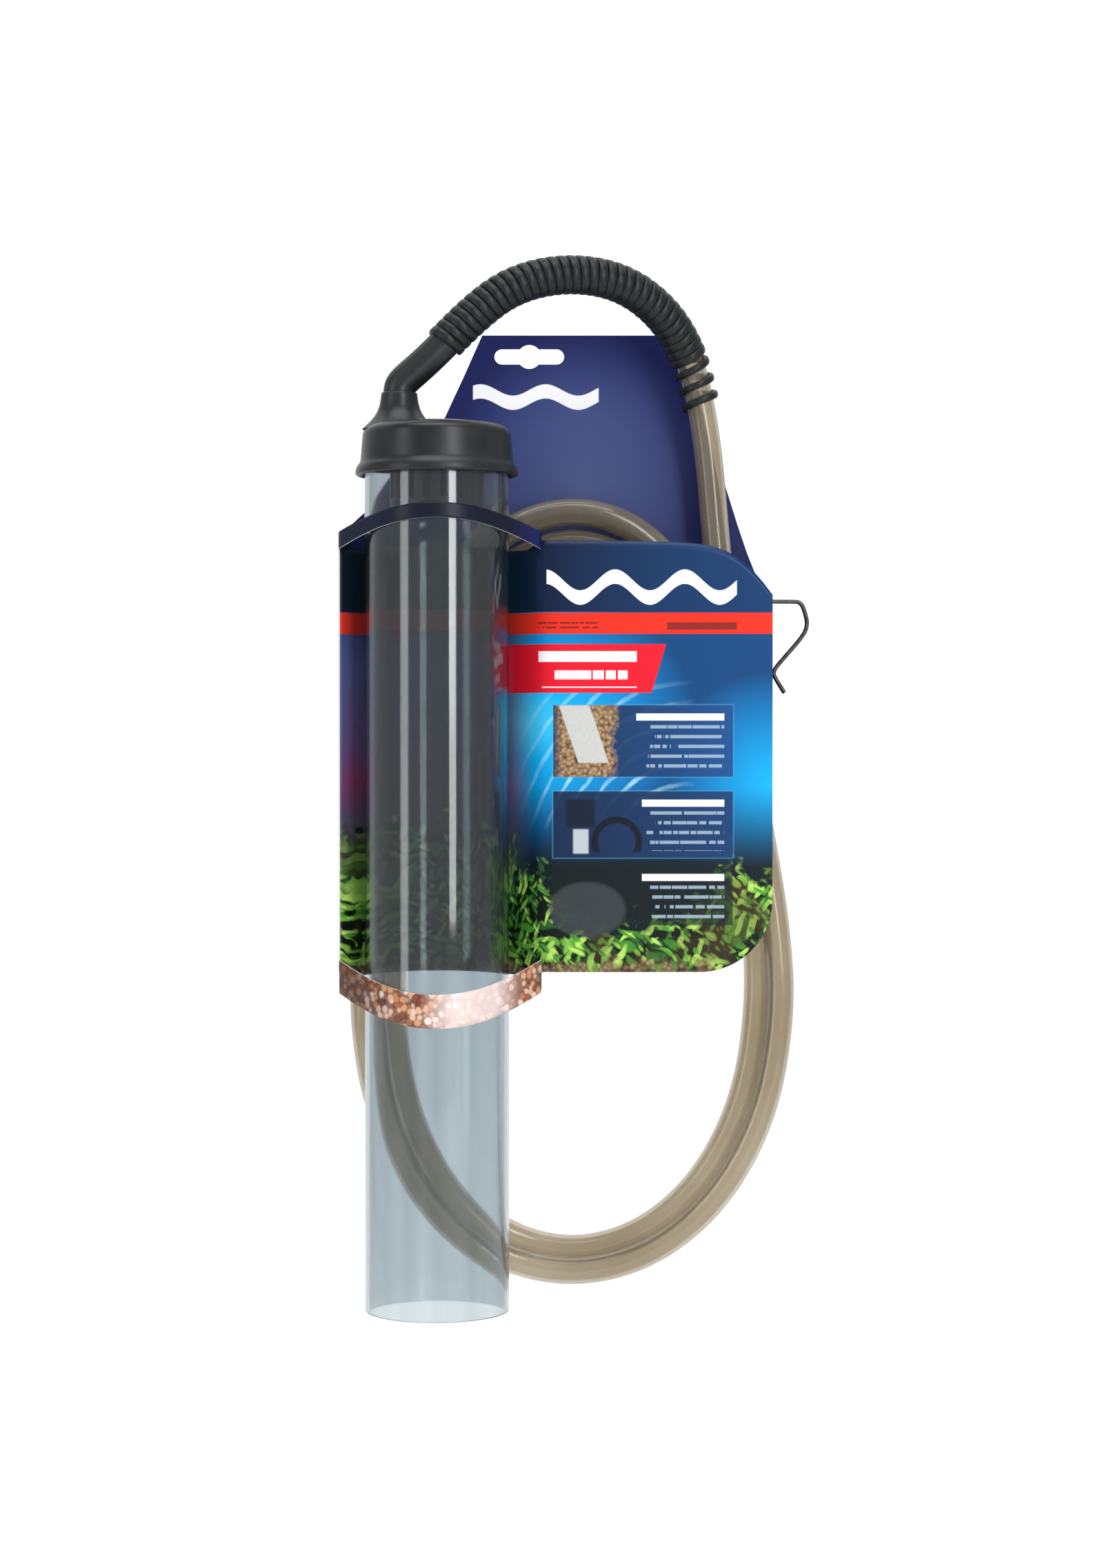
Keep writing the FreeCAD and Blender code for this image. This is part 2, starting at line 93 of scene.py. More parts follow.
class Flow:
    """One socket of a material. Arithmetic on it adds Math nodes to the same material."""

    def __init__(self, socket):
        self.socket = socket

    def math(self, operation, *values):
        return add_node(self.socket.id_data, "ShaderNodeMath", {"operation": operation}, values)

    def __add__(self, other):
        return self.math("ADD", self, other)

    def __sub__(self, other):
        return self.math("SUBTRACT", self, other)

    def __rsub__(self, other):
        return self.math("SUBTRACT", other, self)

    def __mul__(self, other):
        return self.math("MULTIPLY", self, other)

    def __truediv__(self, other):
        return self.math("DIVIDE", self, other)

    def __gt__(self, other):
        return self.math("GREATER_THAN", self, other)

    __radd__ = __add__
    __rmul__ = __mul__

    def clamped(self):
        held = self.math("ADD", self, 0.0)
        held.socket.node.use_clamp = True
        return held


def add_node(tree, kind, settings, inputs, out=0):
    """Add any node: its settings first, then its sockets by number or name."""
    node = tree.nodes.new(kind)
    for name, value in settings.items():
        if name == "stops":
            ramp = node.color_ramp.elements
            while len(ramp) < len(value):
                ramp.new(1.0)
            for stop, (place, colour) in zip(ramp, value):
                stop.position = place
                stop.color = (*colour, 1.0)
        else:
            setattr(node, name, value)
    pairs = inputs.items() if isinstance(inputs, dict) else enumerate(inputs)
    for name, value in pairs:
        socket = node.inputs[name]
        if isinstance(value, Flow):
            tree.links.new(value.socket, socket)
        else:
            socket.default_value = value
    return Flow(node.outputs[out])


class Finish:
    """A material being written. Set fixed sockets when it is made, varying ones with varies()."""

    def __init__(self, name, **fixed):
        self.material = bpy.data.materials.new(name)
        self.material.use_nodes = True
        self.tree = self.material.node_tree
        self.shader = self.tree.nodes["Principled BSDF"]
        for socket, value in fixed.items():
            self.shader.inputs[socket.replace("_", " ")].default_value = value

    def node(self, kind, settings, inputs, out=0):
        return add_node(self.tree, kind, settings, inputs, out)

    def place(self):
        """Where a point of the surface is, in millimetres, as a vector and as x, y and z."""
        spot = self.node("ShaderNodeTexCoord", {}, {}, "Object")
        spot = self.node("ShaderNodeVectorMath", {"operation": "SCALE"}, {0: spot, "Scale": 1000.0})
        split = self.node("ShaderNodeSeparateXYZ", {}, [spot])
        outputs = split.socket.node.outputs
        return spot, Flow(outputs[0]), Flow(outputs[1]), Flow(outputs[2])

    def noise(self, spot, scale, detail=2.0, out=0):
        return self.node(
            "ShaderNodeTexNoise", {}, {"Vector": spot, "Scale": scale, "Detail": detail}, out
        )

    def ramp(self, value, *stops):
        return self.node("ShaderNodeValToRGB", {"stops": stops}, [value])

    def mixed(self, share, under, over):
        """Colour over laid on colour under by a share from 0 to 1."""
        def colour(value):
            return value if isinstance(value, Flow) else (*value, 1.0)
        return self.node(
            "ShaderNodeMix", {"data_type": "RGBA"}, {0: share, 6: colour(under), 7: colour(over)}, 2
        )

    def varies(self, **sockets):
        for socket, value in sockets.items():
            self.tree.links.new(value.socket, self.shader.inputs[socket.replace("_", " ")])

    def bumpy(self, height, depth_mm, strength=1.0):
        bump = self.node(
            "ShaderNodeBump", {}, {"Strength": strength, "Distance": depth_mm * MM, "Height": height}
        )
        self.varies(Normal=bump)

    def on(self, *pieces):
        for piece in pieces:
            piece.data.materials.clear()
            piece.data.materials.append(self.material)


studio_white = Finish("studio_white", Roughness=0.9, Base_Color=(0.93, 0.935, 0.94, 1))
FLOOR_FRONT_Y = -1.5
WALL_TOP = 3.0
SWEEP_STEPS = 12
profile = [(FLOOR_FRONT_Y, FLOOR_Z), (WALL_Y - SWEEP_R, FLOOR_Z)]
for i in range(1, SWEEP_STEPS + 1):
    turn = math.pi / 2 * i / SWEEP_STEPS
    profile.append((
        WALL_Y - SWEEP_R + SWEEP_R * math.sin(turn), FLOOR_Z + SWEEP_R * (1 - math.cos(turn))
    ))
profile.append((WALL_Y, WALL_TOP))
sweep_points = [(x, y, z) for x in (-4.0, 4.0) for y, z in profile]
floor = mesh_piece("studio_floor", sweep_points, grid_faces(2, len(profile)))
studio_white.on(floor)

world = bpy.data.worlds.new("studio")
bpy.context.scene.world = world
world.use_nodes = True
world.node_tree.nodes["Background"].inputs["Color"].default_value = (0.95, 0.97, 1.0, 1)
world.node_tree.nodes["Background"].inputs["Strength"].default_value = 0.52


def softbox(name, spot, aim, size, watts):
    """A square area lamp at spot, facing aim."""
    lamp = bpy.data.objects.new(name, bpy.data.lights.new(name, "AREA"))
    lamp.data.shape = "RECTANGLE"
    lamp.data.size, lamp.data.size_y = size
    lamp.data.energy = watts
    lamp.location = spot
    lamp.rotation_euler = (Vector(aim) - Vector(spot)).to_track_quat("-Z", "Y").to_euler()
    bpy.context.scene.collection.objects.link(lamp)


middle = (0.0, TUBE_Y, -0.2)
softbox("key", (0.62, -1.35, 0.25), middle, (0.30, 1.3), 12)
softbox("fill", (-1.2, -1.0, 0.1), middle, (0.35, 1.2), 5)
softbox("overhead", (0.0, -0.5, 1.3), middle, (1.2, 0.9), 13)
softbox("backdrop_wash", (0.0, 0.7, 1.3), (0.0, 1.6, -0.1), (3.0, 0.6), 14)

# ---- hose ----------------------------------------------------------------------------------
# About 1.9 m of clear vinyl tube, 12.7 mm outside with a 1.6 mm wall, yellowed a little.
# It is pushed on the neck's barb, arches over to the right and is wound down into two loose turns.

HOSE_R = 6.35 * MM
HOSE_WALL = 1.6 * MM
HOSE_ROUTE = [
    (-34.5, -60, 0.5), (-19.5, -59, 16), (-1, -55, 27), (21.5, -49, 31), (43, -42, 27.5),
    (60.5, -34, 15.5), (71.5, -26, -1), (77.5, -20, -21), (82, -17, -50), (84.5, -16, -82),
    (88, -17, -116), (93, -18, -152), (99.5, -19, -190), (107, -19, -228), (112.5, -19, -262),
]
COIL_MIDDLE = (19.3, -240.0)
COIL_TURN = [
    (114.8, -299), (107.3, -345), (86.7, -384), (55.8, -410), (19.3, -419), (-17.2, -410),
    (-48.1, -384), (-68.7, -345), (-76, -299), (-72.7, -258), (-65, -219), (-55.5, -180),
    (-46, -141), (-34, -104), (-11.8, -80.3), (16.8, -70), (46.3, -76), (70, -98), (82, -138),
    (91.5, -180), (101.5, -219), (111, -258),
]
COIL_POINTS = 41
COIL_INSET = [
    (0, 0), (15, 0), (17, 1.0), (19, 5.0), (22, 9.5), (26, 7.6), (30, 11.0), (36, 13.8), (38, 14.6),
    (40, 19.0),
]
COIL_DEPTH = [(0, -19), (8, -18.5), (12, -16), (15, -12.8), (17, -9.8), (22, -8.6), (41, -7.9)]


def on_table(place, table):
    """Value at place on a line through (place, value) pairs."""
    for (p0, v0), (p1, v1) in zip(table, table[1:]):
        if place <= p1:
            return v0 + (v1 - v0) * (place - p0) / (p1 - p0)
    return table[-1][1]


def coil_point(step):
    """A control point of the wound hose: the second turn lies inside and behind the first."""
    x, z = COIL_TURN[step % len(COIL_TURN)]
    inset = on_table(step, COIL_INSET)
    return (
        COIL_MIDDLE[0] + (x - COIL_MIDDLE[0]) * (1 - inset / 95),
        on_table(step, COIL_DEPTH),
        COIL_MIDDLE[1] + (z - COIL_MIDDLE[1]) * (1 - inset / 172),
    )


def soft_curve(name, points_mm):
    """A smooth open curve drawn by control points in millimetres."""
    data = bpy.data.curves.new(name, "CURVE")
    data.dimensions = "3D"
    data.resolution_u = 8
    line = data.splines.new("NURBS")
    line.points.add(len(points_mm) - 1)
    for point, (x, y, z) in zip(line.points, points_mm):
        point.co = (x * MM, y * MM, z * MM, 1)
    line.order_u = 3
    line.use_endpoint_u = True
    piece = bpy.data.objects.new(name, data)
    bpy.context.scene.collection.objects.link(piece)
    return piece


def points_along(curve_piece):
    """The points of a curve with no bevel, as Blender draws it."""
    mesh = bpy.data.meshes.new_from_object(curve_piece)
    found = [vertex.co.copy() for vertex in mesh.vertices]
    bpy.data.meshes.remove(mesh)
    return found


hose = soft_curve("hose", HOSE_ROUTE + [coil_point(step) for step in range(COIL_POINTS)])
hose_line = points_along(hose)
hose.data.bevel_depth = HOSE_R
hose.data.bevel_resolution = 6
bore = hose.modifiers.new("wall", "SOLIDIFY")
bore.thickness = HOSE_WALL
bore.offset = -1.0

vinyl = Finish(
    "yellowed_clear_vinyl", Roughness=0.14, IOR=1.42, Transmission_Weight=0.86,
)
spot = vinyl.place()[0]
mottle = vinyl.noise(spot, 0.02, 3.0)
vinyl.varies(
    Base_Color=vinyl.ramp(mottle, (0.3, (0.58, 0.51, 0.385)), (0.7, (0.68, 0.61, 0.485))),
)
vinyl.on(hose)
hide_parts("clear_hose", "hose_coil")
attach(hose, "siphon")

# ---- kink guard ----------------------------------------------------------------------------
# A black plastic strip wound round the hose where it bends most, so that it can't fold.
# Its turns touch along the bend; the last ones have been pulled apart.

GUARD_R = 8.7 * MM
GUARD_BORE_R = 6.55 * MM
GUARD_PITCH = 4.1 * MM
GUARD_CLOSE_LENGTH = 0.139
GUARD_LOOSE_TURNS = 3.0
GUARD_LOOSE_PITCH = 7.5 * MM
GUARD_START = -3.4 * MM
GUARD_LOOSE_SWAY = 0.88 * MM
STRIP_CORNER_POWER = 0.7
STRIP_SIDES = 10
STEPS_A_TURN = 28


class Route:
    """A line of points with a frame that doesn't twist, to be looked up by distance."""

    def __init__(self, points):
        self.points = points
        self.far = [0.0]
        for a, b in zip(points, points[1:]):
            self.far.append(self.far[-1] + (b - a).length)
        side = Vector((0, 1, 0))
        self.sides = []
        for i in range(len(points)):
            along = self.along(i)
            side = (side - along * side.dot(along)).normalized()
            self.sides.append(side)

    def along(self, i):
        a, b = self.points[max(i - 1, 0)], self.points[min(i + 1, len(self.points) - 1)]
        return (b - a).normalized()

    def at(self, distance):
        """Point, direction and side direction at a distance from the start."""
        i = 0
        while i < len(self.far) - 2 and self.far[i + 1] < distance:
            i += 1
        share = (distance - self.far[i]) / (self.far[i + 1] - self.far[i])
        point = self.points[i].lerp(self.points[i + 1], share)
        along = self.along(i).lerp(self.along(i + 1), share).normalized()
        side = self.sides[i].lerp(self.sides[i + 1], share)
        side = (side - along * side.dot(along)).normalized()
        return point, along, side


hose_path = Route(hose_line)
strip = []
for i in range(STRIP_SIDES):
    turn = 2 * math.pi * i / STRIP_SIDES
    c, s = math.cos(turn), math.sin(turn)
    strip.append((
        math.copysign(abs(c) ** STRIP_CORNER_POWER, c) / 2,
        math.copysign(abs(s) ** STRIP_CORNER_POWER, s) / 2,
    ))
close_turns = GUARD_CLOSE_LENGTH / GUARD_PITCH
all_turns = close_turns + GUARD_LOOSE_TURNS
middle_r = (GUARD_R + GUARD_BORE_R) / 2
guard_points = []
guard_steps = int(all_turns * STEPS_A_TURN)
for step in range(guard_steps + 1):
    turns = step / STEPS_A_TURN
    loose = max(0.0, turns - close_turns)
    distance = min(turns, close_turns) * GUARD_PITCH + loose * GUARD_LOOSE_PITCH + GUARD_START
    point, along, side = hose_path.at(distance)
    angle = 2 * math.pi * turns
    outward = side * math.cos(angle) + along.cross(side) * math.sin(angle)
    sway = GUARD_LOOSE_SWAY * math.sin(angle + 1.0) if loose > 0 else 0.0
    wide = GUARD_PITCH * (1.03 if loose == 0 else 0.8)
    for radial, axial in strip:
        radius = middle_r + radial * (GUARD_R - GUARD_BORE_R)
        guard_points.append(point + outward * radius + along * (axial * wide + sway))
guard_faces = grid_faces(guard_steps + 1, len(strip), close_rows=True)
guard_faces.append(tuple(range(len(strip)))[::-1])
last_ring = guard_steps * len(strip)
guard_faces.append(tuple(range(last_ring, last_ring + len(strip))))
guard = mesh_piece("kink_guard_spiral", guard_points, guard_faces)

guard_plastic = Finish("black_guard_plastic", Specular_IOR_Level=0.3)
spot = guard_plastic.place()[0]
scuff = guard_plastic.noise(spot, 0.35, 4.0)
guard_plastic.varies(
    Base_Color=guard_plastic.ramp(scuff, (0.35, (0.004, 0.006, 0.006)), (0.8, (0.013, 0.017, 0.017))),
    Roughness=0.3 + 0.2 * scuff,
)
guard_plastic.bumpy(guard_plastic.noise(spot, 2.5), 0.05, 0.3)
guard_plastic.on(guard)
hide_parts("kink_guard")
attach(guard, "siphon")

# ---- cap and outlet neck -------------------------------------------------------------------
# The cap is one black moulding: a flared skirt over the tube, a flat top with a rounded edge,
# and a boss at the left that flows into the bent outlet neck. Its surface is a fine satin.

cap_low, cap_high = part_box("cap_body")
CAP_LIP_R = (cap_high[0] - cap_low[0]) / 2
CAP_TOP = -36 * MM
CAP_BOTTOM = cap_low[2]
CAP_R = 33.4 * MM
SKIRT_BORE_R = 32.1 * MM
SKIRT_CEILING = -45.6 * MM
PLUG_R = 28.4 * MM
PLUG_BORE_R = 26.6 * MM
PLUG_LOW = -57 * MM
CHAMBER_CEILING = -42 * MM
EDGE_R = 2.4 * MM
BOSS_X = -56.5 * MM
BOSS_STEPS = 64
NECK_R = 7.0 * MM
LATHE_STEPS = 128


def lathe(name, centre, profile, steps=LATHE_STEPS, closed=False):
    """Turn a profile of (radius, z) points in metres about the vertical line through centre."""
    points = []
    for i in range(steps):
        turn = 2 * math.pi * i / steps
        for r, z in profile:
            points.append((centre[0] + r * math.cos(turn), centre[1] + r * math.sin(turn), z))
    return mesh_piece(name, points, grid_faces(steps, len(profile), True, closed))


def rounded(corners, radius, steps=5):
    """The corners of a profile, each inner one rounded off by radius or what fits."""
    out = [Vector(corners[0])]
    for before, corner, after in zip(corners, corners[1:], corners[2:]):
        before, corner, after = Vector(before), Vector(corner), Vector(after)
        cut = min(radius, (before - corner).length / 2.1, (after - corner).length / 2.1)
        start = corner + (before - corner).normalized() * cut
        end = corner + (after - corner).normalized() * cut
        for i in range(steps + 1):
            t = i / steps
            out.append((start * (1 - t) + corner * t) * (1 - t) + (corner * (1 - t) + end * t) * t)
    out.append(Vector(corners[-1]))
    return out


cap_profile = rounded([
    (0.0, CAP_TOP), (CAP_R - 15 * MM, CAP_TOP - 0.5 * MM), (CAP_R - 4.5 * MM, CAP_TOP - 1.8 * MM),
    (CAP_R - 1.0 * MM, CAP_TOP - 4.2 * MM), (CAP_R + 0.2 * MM, CAP_BOTTOM + 6.0 * MM),
    (CAP_LIP_R - 0.5 * MM, CAP_BOTTOM + 3.6 * MM), (CAP_LIP_R, CAP_BOTTOM),
    (SKIRT_BORE_R, CAP_BOTTOM), (SKIRT_BORE_R, SKIRT_CEILING), (PLUG_R, SKIRT_CEILING),
    (PLUG_R, PLUG_LOW), (PLUG_BORE_R, PLUG_LOW), (PLUG_BORE_R, CHAMBER_CEILING),
    (0.0, CHAMBER_CEILING),
], EDGE_R)
cap = lathe("cap_moulding", (TUBE_X, TUBE_Y), cap_profile)

boss_profile = rounded([
    (16.4 * MM, CAP_TOP - 3.4 * MM), (12.2 * MM, CAP_TOP + 0.6 * MM), (9.4 * MM, CAP_TOP + 4.6 * MM),
    (8.3 * MM, CAP_TOP + 9.0 * MM), (7.9 * MM, CAP_TOP + 12.6 * MM), (6.6 * MM, CAP_TOP + 13.0 * MM),
], EDGE_R)
boss = lathe("cap_boss", (BOSS_X, TUBE_Y), boss_profile, BOSS_STEPS)


def tube_along(name, points_mm, radius, sides=40):
    """A round rod with ends, along a smooth curve drawn by control points in millimetres."""
    curve = soft_curve(name, points_mm)
    line = points_along(curve)
    bpy.data.objects.remove(curve)
    route = Route(line)
    points = []
    for i, point in enumerate(line):
        along, side = route.along(i), route.sides[i]
        for k in range(sides):
            turn = 2 * math.pi * k / sides
            points.append(point + (side * math.cos(turn) + along.cross(side) * math.sin(turn)) * radius)
    faces = grid_faces(len(line), sides, close_rows=True)
    faces.append(tuple(range(sides))[::-1])
    faces.append(tuple(range((len(line) - 1) * sides, len(line) * sides)))
    return mesh_piece(name, points, faces)


neck = tube_along("outlet_neck_tube", [
    (-56.6, -60, -28), (-56.8, -60, -22), (-55, -60, -18.5), (-48, -60, -12.5), (-41, -60, -6),
    (-34.5, -60, 0.5),
], NECK_R)

satin_black = Finish("satin_black_moulding", Specular_IOR_Level=0.38)
spot = satin_black.place()[0]
grain = satin_black.noise(spot, 3.0, 5.0)
cloud = satin_black.noise(spot, 0.06, 3.0)
satin_black.varies(
    Base_Color=satin_black.ramp(cloud, (0.3, (0.006, 0.007, 0.008)), (0.75, (0.014, 0.016, 0.017))),
    Roughness=0.30 + 0.14 * cloud,
)
satin_black.bumpy(grain, 0.04, 0.35)
satin_black.on(cap, boss, neck)
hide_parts("cap_body")
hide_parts("outlet_neck")
for piece in (cap, boss, neck):
    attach(piece, "siphon")

# ---- gravel tube ---------------------------------------------------------------------------
# A clear, slightly smoky rigid tube with a 2 mm wall, cut square at the bottom.
# It is a plain push fit in the cap, and its cut edge catches the light.

tube_low, tube_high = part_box("gravel_tube")
TUBE_R = (tube_high[0] - tube_low[0]) / 2
TUBE_WALL = 2 * MM
TUBE_EDGE_R = 0.4 * MM
wall_profile = rounded([
    (TUBE_R - TUBE_WALL, tube_low[2] + 1 * MM), (TUBE_R - TUBE_WALL, tube_low[2]),
    (TUBE_R, tube_low[2]), (TUBE_R, tube_high[2]), (TUBE_R - TUBE_WALL, tube_high[2]),
    (TUBE_R - TUBE_WALL, tube_low[2] + 1 * MM),
], TUBE_EDGE_R)[:-1]
tube = lathe("gravel_tube_clear", (TUBE_X, TUBE_Y), wall_profile, closed=True)

smoky_clear = Finish(
    "smoky_clear_plastic", Roughness=0.06, IOR=1.49, Transmission_Weight=0.988,
    Specular_IOR_Level=0.5,
)
x, y, z = smoky_clear.place()[1:]
streak = smoky_clear.noise(
    smoky_clear.node("ShaderNodeCombineXYZ", {}, [x * 0.12, y * 0.12, z * 0.004]), 1.0, 2.0
)
smoke = smoky_clear.ramp(streak, (0.3, (0.545, 0.605, 0.63)), (0.7, (0.635, 0.695, 0.715)))
grazing = smoky_clear.node("ShaderNodeLayerWeight", {}, {"Blend": 0.5}, 1)
long_path = ((grazing - 0.42) / 0.45).clamped()
smoky_clear.varies(Base_Color=smoky_clear.mixed(long_path * 0.75, smoke, (0.25, 0.30, 0.32)))
smoky_clear.on(tube)
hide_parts("gravel_tube")
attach(tube, "tube")

# ---- inside the cap ------------------------------------------------------------------------
# A slotted black basket keeps gravel out of the hose. Above it are a seat plate with a soft
# gasket, the white ball that makes the check valve, and the cross-bar that stops it.

basket_black = Finish("basket_black", Roughness=0.42)
spot = basket_black.place()[0]
basket_black.varies(
    Base_Color=basket_black.ramp(
        basket_black.noise(spot, 0.2), (0.3, (0.012, 0.014, 0.015)), (0.8, (0.03, 0.034, 0.036))
    ),
)
seal_black = Finish("seal_black", Roughness=0.6)
spot = seal_black.place()[0]
seal_black.varies(
    Base_Color=seal_black.ramp(
        seal_black.noise(spot, 1.5), (0.3, (0.01, 0.01, 0.01)), (0.8, (0.025, 0.025, 0.025))
    ),
)
ball_white = Finish("ball_white", Roughness=0.25)
spot = ball_white.place()[0]
ball_white.varies(
    Base_Color=ball_white.ramp(
        ball_white.noise(spot, 0.9), (0.3, (0.78, 0.77, 0.72)), (0.8, (0.86, 0.85, 0.82))
    ),
)


def finish_nodes(finish, *names):
    """Give CAD nodes a finish in every material slot."""
    for name in names:
        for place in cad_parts[name].material_slots:
            place.material = finish.material


finish_nodes(basket_black, "inlet_strainer", "valve_seat", "ball_stop")
finish_nodes(seal_black, "cap_seal_ring", "seat_gasket", "neck_seal")
finish_nodes(ball_white, "valve_ball")

# ---- hanging card --------------------------------------------------------------------------
# One coated card sheet, printed and die-cut: the front panel dips behind the tube as a trough,
# and two crescent straps cut from it pass in front. It folds back at the left to the tall back
# panel, whose header has the hang slot.

CARD = 0.6 * MM
front_low, front_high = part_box("card_front_panel")
back_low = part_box("card_back_panel")[0]
trough_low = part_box("card_trough")[0]
FRONT_Y = TUBE_Y
LEFT_X, PANEL_X, RIGHT_X = trough_low[0], front_low[0], front_high[0]
CRADLE_R = 32.7 * MM
CORNER_R = 32 * MM
FOLD_TOP = -84.5
CRADLE_STEPS = 40
STRAIGHT_STEPS = 12
FRONT_COLUMNS = 90
FOLD_COLUMNS = 21


def cradle_line(side):
    """The line of card round one side of the tube, from the right end to the left."""
    line = []
    centre = Vector((TUBE_X, FRONT_Y))
    ends = [Vector((PANEL_X, FRONT_Y)), Vector((LEFT_X + CARD, FRONT_Y))]
    touches = [math.acos(CRADLE_R / abs(end.x - centre.x)) for end in ends]
    start, stop = touches[0], math.pi - touches[1]
    arc = []
    for i in range(CRADLE_STEPS + 1):
        turn = start + (stop - start) * i / CRADLE_STEPS
        arc.append(centre + Vector((math.cos(turn), side * math.sin(turn))) * CRADLE_R)
    for i in range(STRAIGHT_STEPS):
        line.append(ends[0].lerp(arc[0], i / STRAIGHT_STEPS))
    line += arc
    for i in range(1, STRAIGHT_STEPS + 1):
        line.append(arc[-1].lerp(ends[1], i / STRAIGHT_STEPS))
    return line


def softened(line, passes):
    """The line with its corners eased by averaging neighbours, its ends held."""
    for _ in range(passes):
        line = [line[0]] + [
            (a + b * 2 + c) / 4 for a, b, c in zip(line, line[1:], line[2:])
        ] + [line[-1]]
    return line


def card_sheet(name, line, top, bottom, rows):
    """A bent card: a line in plan, from z = bottom(point) up to top(point), and its thickness."""
    points = []
    for point in line:
        low, high = bottom(point), top(point)
        for j in range(rows):
            points.append((point.x, point.y, low + (high - low) * j / (rows - 1)))
    piece = mesh_piece(name, points, grid_faces(len(line), rows))
    board = piece.modifiers.new("board", "SOLIDIFY")
    board.thickness = CARD * 0.9
    board.offset = 0
    board.material_offset_rim = 1
    return piece


FRONT_TOP = [(5.8, -88.0), (40, -88.2), (60, -88.6), (72, -89.2), (80, -90.4), (87, -92.6),
             (93, -96.2), (99, -101.4), (103.5, -106.6), (107.6, -112.0)]
FRONT_TOP = [(x * MM, z * MM) for x, z in FRONT_TOP]
TROUGH_TOP = -92 * MM


def front_top(point):
    """Top edge of the front: level over the trough, rounded down at the right, rising at the fold."""
    if point.x >= PANEL_X:
        return on_table(point.x, FRONT_TOP)
    if point.x < LEFT_X + 1.2 * MM and point.y > FRONT_Y + 0.1 * MM:
        share = (point.y - FRONT_Y) / (0 - FRONT_Y)
        return (FOLD_TOP + 6.5 * share) * MM
    share = min(1.0, (PANEL_X - point.x) / (6 * MM))
    return FRONT_TOP[0][1] + (TROUGH_TOP - FRONT_TOP[0][1]) * share


def front_bottom(point):
    """Bottom edge of the front: level, with a wide round corner at the right."""
    into = point.x - (RIGHT_X - CORNER_R)
    if into > 0:
        return front_low[2] + CORNER_R - math.sqrt(max(0.0, CORNER_R ** 2 - into ** 2))
    return front_low[2] if point.x > PANEL_X else trough_low[2]


front_line = []
for i in range(FRONT_COLUMNS):
    angle = math.pi / 2 * i / (FRONT_COLUMNS - 1)
    front_line.append(Vector((PANEL_X + (RIGHT_X - PANEL_X) * math.cos(angle), FRONT_Y)))
front_line = softened(front_line + cradle_line(1), 12)
front_card = card_sheet("card_front_sheet", front_line, front_top, front_bottom, 60)

side_line = []
for i in range(FOLD_COLUMNS):
    share = i / (FOLD_COLUMNS - 1)
    side_line.append(Vector((LEFT_X + CARD / 2, FRONT_Y * (1 - share) + 0.3 * MM)))


def side_top(point):
    """Top edge of the left fold, which rises towards the back."""
    return (FOLD_TOP + 6.0 * (point.y - FRONT_Y) / -FRONT_Y) * MM


side_card = card_sheet("card_side_sheet", side_line, side_top, lambda point: back_low[2], 40)


def crescent(middle_z, end_z):
    """Height along a strap, which is highest or lowest in front of the tube."""
    half = (PANEL_X - LEFT_X) / 2
    centre = (PANEL_X + LEFT_X) / 2
    return lambda point: (end_z + (middle_z - end_z) * (1 - ((point.x - centre) / half) ** 2)) * MM


strap_line = softened(cradle_line(-1), 3)
top_strap = card_sheet(
    "card_top_strap_sheet", strap_line, crescent(-73.7, -84.5), crescent(-80.2, -92.0), 8
)
bottom_strap = card_sheet(
    "card_bottom_strap_sheet", strap_line, crescent(-285.3, -272.5), crescent(-300.0, -287.0), 8
)

HEADER = [
    (59.5, 9.8), (66, 1.5), (75, -14), (79.5, -25), (82.9, -37.1), (89, -56), (95.5, -76.7),
    (100, -90), (104, -100), (107.6, -108),
]
HEADER_LEFT = [(-82.9, -78), (-72, -68), (-63.1, -58.7), (-50, -44), (-39.7, -29.9), (-30, -9), (-21.6, 9.8)]
SLOT_HALF_WIDTH, SLOT_HALF_HEIGHT, SLOT_BUMP_R = 16.0, 3.5, 5.5


def arc_points(cx, cz, radius, start_deg, stop_deg, steps=16):
    """Points of an arc in millimetres, by angle from +X towards +Z."""
    turns = [math.radians(start_deg + (stop_deg - start_deg) * i / steps) for i in range(steps + 1)]
    return [(cx + radius * math.cos(t), cz + radius * math.sin(t)) for t in turns]


BACK_LEFT, BACK_RIGHT, BACK_BOTTOM, BACK_CORNER_R = -82.9, 107.6, -278, 32
lower_right = arc_points(
    BACK_RIGHT - BACK_CORNER_R, BACK_BOTTOM + BACK_CORNER_R, BACK_CORNER_R, 0, -90
)
back_outline = HEADER + lower_right + [(BACK_LEFT, BACK_BOTTOM)] + HEADER_LEFT
reach = SLOT_HALF_WIDTH - SLOT_HALF_HEIGHT
meet = math.degrees(math.asin(SLOT_HALF_HEIGHT / SLOT_BUMP_R))
slot_outline = (
    arc_points(reach, 0, SLOT_HALF_HEIGHT, -90, 90)
    + arc_points(0, 0, SLOT_BUMP_R, meet, 180 - meet)
    + arc_points(-reach, 0, SLOT_HALF_HEIGHT, 90, 270)
    + arc_points(0, 0, SLOT_BUMP_R, 180 + meet, 360 - meet)
)


